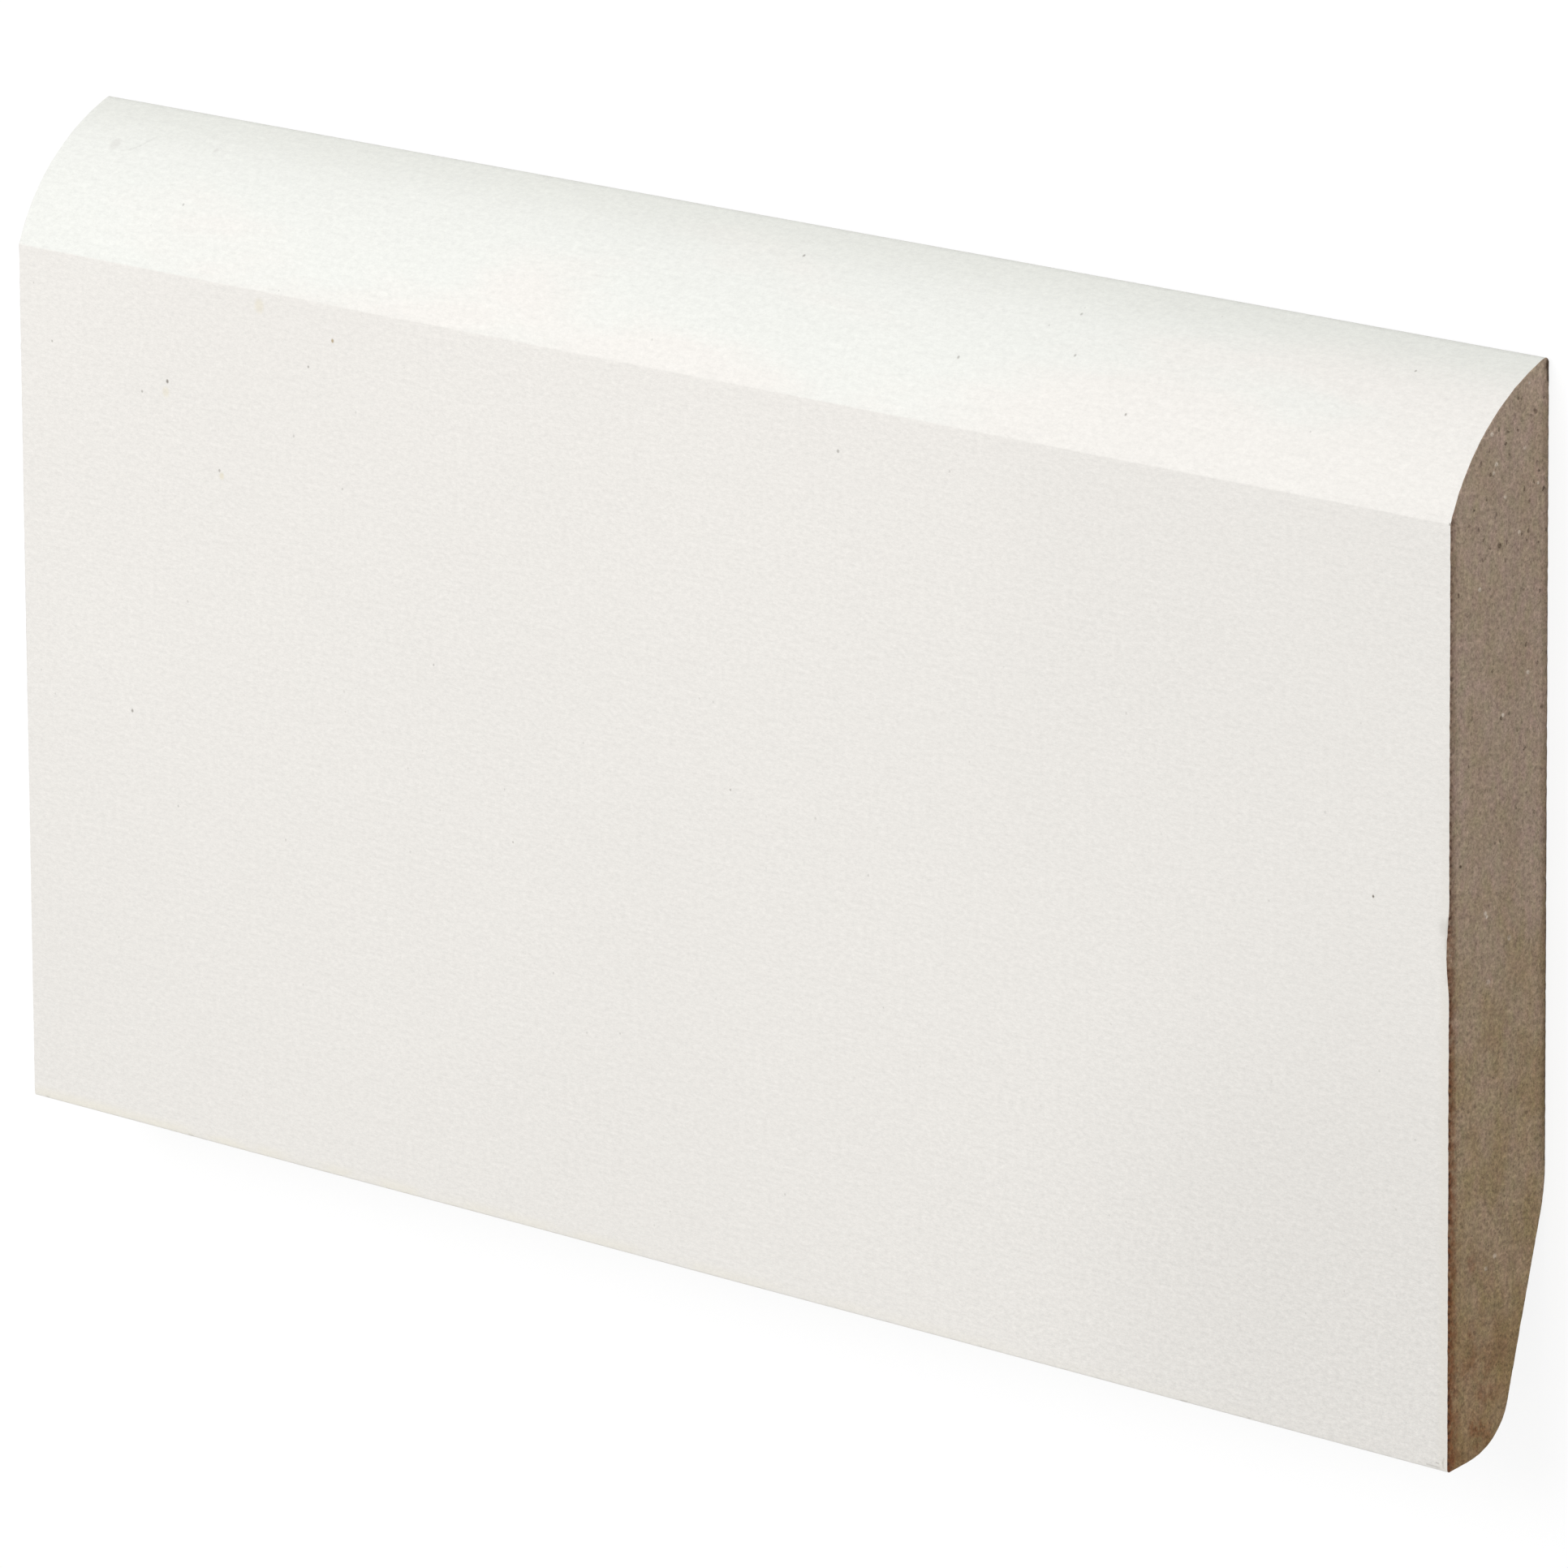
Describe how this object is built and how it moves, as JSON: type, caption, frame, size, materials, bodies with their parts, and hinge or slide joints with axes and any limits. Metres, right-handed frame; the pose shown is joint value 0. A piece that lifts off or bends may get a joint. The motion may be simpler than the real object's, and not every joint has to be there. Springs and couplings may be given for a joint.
{
  "type": "skirting board",
  "caption": "Short length of primed fibreboard skirting with a rounded top front edge, a flat face and a bevelled lower back that ends in a rounded nose.",
  "frame": {"origin": "middle of the underside of the bounding box, on the plane of the flat back face, halfway along the length and halfway up the board's height", "axes": "+X along the board's length, +Y up the board's height towards the rounded top edge, +Z out of the wall through the front face; the board lies on its back"},
  "size_m": [0.24, 0.119, 0.0145],
  "materials": {
    "primed_fibreboard": "matt white primer on the moulded faces, raw brown fibreboard on both sawn ends"
  },
  "bodies": {
    "root": {"skirting_board": "primed_fibreboard"}
  },
  "joints": []
}
